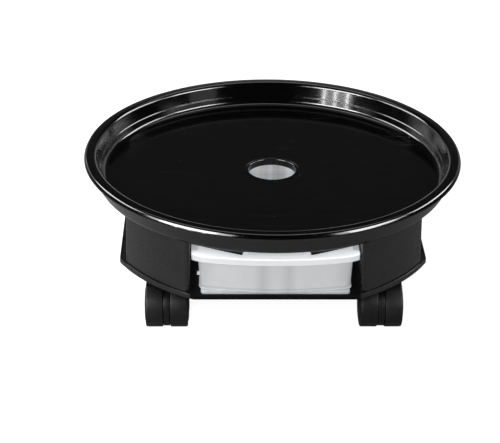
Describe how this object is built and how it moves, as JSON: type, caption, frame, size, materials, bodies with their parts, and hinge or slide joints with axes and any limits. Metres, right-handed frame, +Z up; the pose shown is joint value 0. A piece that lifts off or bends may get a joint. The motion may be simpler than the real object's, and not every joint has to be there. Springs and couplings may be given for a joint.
{
  "type": "plant pot caddy",
  "caption": "Round rolling plant pot caddy: a black saucer with a drain hole on a drum-shaped base with a pull-out translucent water drawer and swivel casters.",
  "frame": {"origin": "on the ground under the middle of the saucer, which is the bottom centre of the whole object's box", "axes": "+Z up, -Y is the front that the drawer opens towards, +X to the right when looking at the front"},
  "size_m": [0.34, 0.34, 0.1255],
  "materials": {
    "saucer_plastic": "glossy moulded",
    "base_plastic": "satin moulded",
    "drawer_plastic": "translucent milky, satin",
    "caster_plastic": "fine moulded grain",
    "wheel_plastic": "fine moulded grain",
    "steel": "zinc plated"
  },
  "bodies": {
    "base": {"saucer_tray": "saucer_plastic", "base_drum": "base_plastic", "base_plate": "base_plastic", "tray_screw_1": "steel", "tray_screw_2": "steel", "tray_screw_3": "steel", "tray_screw_4": "steel", "plate_screw_1": "steel", "plate_screw_2": "steel", "plate_screw_3": "steel", "plate_screw_4": "steel", "plate_screw_5": "steel", "plate_screw_6": "steel", "front_left_socket": "caster_plastic", "front_left_stem": "steel", "front_right_socket": "caster_plastic", "front_right_stem": "steel", "rear_left_socket": "caster_plastic", "rear_left_stem": "steel", "rear_right_socket": "caster_plastic", "rear_right_stem": "steel"},
    "drawer": {"water_drawer": "drawer_plastic"},
    "front_left_caster": {"front_left_yoke": "caster_plastic", "front_left_axle": "steel"},
    "front_left_left_wheel": {"front_left_wheel_left": "wheel_plastic", "front_left_cap_left": "wheel_plastic"},
    "front_left_right_wheel": {"front_left_wheel_right": "wheel_plastic", "front_left_cap_right": "wheel_plastic"},
    "front_right_caster": {"front_right_yoke": "caster_plastic", "front_right_axle": "steel"},
    "front_right_left_wheel": {"front_right_wheel_left": "wheel_plastic", "front_right_cap_left": "wheel_plastic"},
    "front_right_right_wheel": {"front_right_wheel_right": "wheel_plastic", "front_right_cap_right": "wheel_plastic"},
    "rear_left_caster": {"rear_left_yoke": "caster_plastic", "rear_left_axle": "steel"},
    "rear_left_left_wheel": {"rear_left_wheel_left": "wheel_plastic", "rear_left_cap_left": "wheel_plastic"},
    "rear_left_right_wheel": {"rear_left_wheel_right": "wheel_plastic", "rear_left_cap_right": "wheel_plastic"},
    "rear_right_caster": {"rear_right_yoke": "caster_plastic", "rear_right_axle": "steel"},
    "rear_right_left_wheel": {"rear_right_wheel_left": "wheel_plastic", "rear_right_cap_left": "wheel_plastic"},
    "rear_right_right_wheel": {"rear_right_wheel_right": "wheel_plastic", "rear_right_cap_right": "wheel_plastic"}
  },
  "joints": [
    {"name": "drawer_slide", "type": "slide", "parent": "base", "child": "drawer", "axis": [0, -1, 0], "range_m": [0, 0.2]},
    {"name": "front_left_swivel", "type": "hinge", "parent": "base", "child": "front_left_caster", "pos_m": [-0.0937, -0.0835, 0.041], "axis": [0, 0, 1], "continuous": true},
    {"name": "front_left_left_wheel_spin", "type": "hinge", "parent": "front_left_caster", "child": "front_left_left_wheel", "pos_m": [-0.0937, -0.098, 0.02], "axis": [1, 0, 0], "continuous": true},
    {"name": "front_left_right_wheel_spin", "type": "hinge", "parent": "front_left_caster", "child": "front_left_right_wheel", "pos_m": [-0.0937, -0.098, 0.02], "axis": [1, 0, 0], "continuous": true},
    {"name": "front_right_swivel", "type": "hinge", "parent": "base", "child": "front_right_caster", "pos_m": [0.0937, -0.0835, 0.041], "axis": [0, 0, 1], "continuous": true},
    {"name": "front_right_left_wheel_spin", "type": "hinge", "parent": "front_right_caster", "child": "front_right_left_wheel", "pos_m": [0.0937, -0.098, 0.02], "axis": [1, 0, 0], "continuous": true},
    {"name": "front_right_right_wheel_spin", "type": "hinge", "parent": "front_right_caster", "child": "front_right_right_wheel", "pos_m": [0.0937, -0.098, 0.02], "axis": [1, 0, 0], "continuous": true},
    {"name": "rear_left_swivel", "type": "hinge", "parent": "base", "child": "rear_left_caster", "pos_m": [-0.0937, 0.0835, 0.041], "axis": [0, 0, 1], "continuous": true},
    {"name": "rear_left_left_wheel_spin", "type": "hinge", "parent": "rear_left_caster", "child": "rear_left_left_wheel", "pos_m": [-0.0937, 0.069, 0.02], "axis": [1, 0, 0], "continuous": true},
    {"name": "rear_left_right_wheel_spin", "type": "hinge", "parent": "rear_left_caster", "child": "rear_left_right_wheel", "pos_m": [-0.0937, 0.069, 0.02], "axis": [1, 0, 0], "continuous": true},
    {"name": "rear_right_swivel", "type": "hinge", "parent": "base", "child": "rear_right_caster", "pos_m": [0.0937, 0.0835, 0.041], "axis": [0, 0, 1], "continuous": true},
    {"name": "rear_right_left_wheel_spin", "type": "hinge", "parent": "rear_right_caster", "child": "rear_right_left_wheel", "pos_m": [0.0937, 0.069, 0.02], "axis": [1, 0, 0], "continuous": true},
    {"name": "rear_right_right_wheel_spin", "type": "hinge", "parent": "rear_right_caster", "child": "rear_right_right_wheel", "pos_m": [0.0937, 0.069, 0.02], "axis": [1, 0, 0], "continuous": true}
  ]
}
